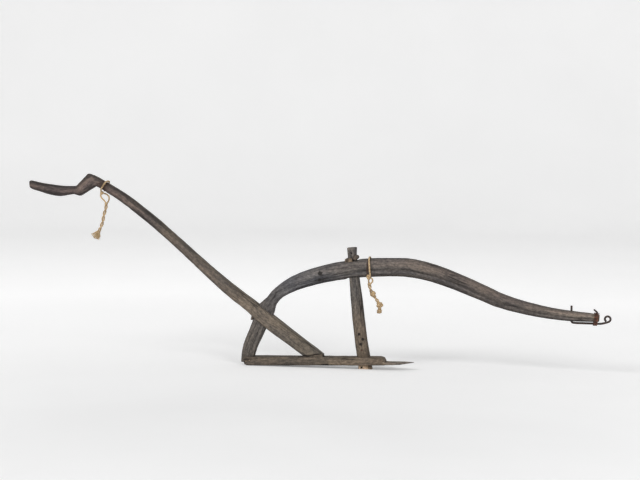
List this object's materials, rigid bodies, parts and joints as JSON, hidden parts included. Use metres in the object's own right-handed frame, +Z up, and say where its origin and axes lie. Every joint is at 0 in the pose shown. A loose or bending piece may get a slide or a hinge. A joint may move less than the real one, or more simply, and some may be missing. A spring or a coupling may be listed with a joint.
{
  "type": "walking plow",
  "caption": "Wooden walking plow with a cranked handle, a bent beam, an upright post, a pointed sole for an iron share and a draft hook at the beam's tip.",
  "frame": {"origin": "On the ground, halfway along the plow and in its middle plane.", "axes": "+X forward along the beam, the way the plow is drawn; +Y to the plowman's left; +Z up."},
  "size_m": [2.481, 0.0823, 0.7975],
  "materials": {
    "timber": "weathered, hewn",
    "pale_wood": "dry, split",
    "iron": "dark, hammered",
    "rusty_iron": "rusted",
    "straw": "dry twisted straw"
  },
  "bodies": {
    "frame": {"beam": "timber", "post": "timber", "sole": "timber", "handle": "timber", "handle_foot_peg": "timber", "heel_peg_rear": "pale_wood", "heel_peg_front": "pale_wood", "foot_wedge": "pale_wood", "nose_pin": "pale_wood", "foot_pin": "iron", "draft_hook": "iron", "post_nail_upper": "rusty_iron", "post_nail_middle": "rusty_iron", "post_nail_lower": "rusty_iron", "binding_wire": "rusty_iron", "wire_twist": "rusty_iron", "handle_rope": "straw", "handle_rope_strand": "straw", "handle_rope_tuft": "straw", "beam_rope": "straw", "beam_rope_strand": "straw"},
    "post_key": {"post_key": "timber"},
    "rear_wedge": {"rear_wedge": "timber"},
    "packing_slip": {"packing_slip": "pale_wood"},
    "handle_wedge": {"handle_wedge": "pale_wood"}
  },
  "joints": [
    {"name": "post_key_slide", "type": "slide", "parent": "frame", "child": "post_key", "axis": [0, -1, 0], "range_m": [0, 0.06]},
    {"name": "rear_wedge_slide", "type": "slide", "parent": "frame", "child": "rear_wedge", "axis": [-0.0854, 0, 0.9963], "range_m": [0, 0.07]},
    {"name": "packing_slip_slide", "type": "slide", "parent": "frame", "child": "packing_slip", "axis": [-0.0854, 0, 0.9963], "range_m": [0, 0.07]},
    {"name": "handle_wedge_slide", "type": "slide", "parent": "frame", "child": "handle_wedge", "axis": [0.3738, 0, 0.9275], "range_m": [0, 0.08]}
  ]
}
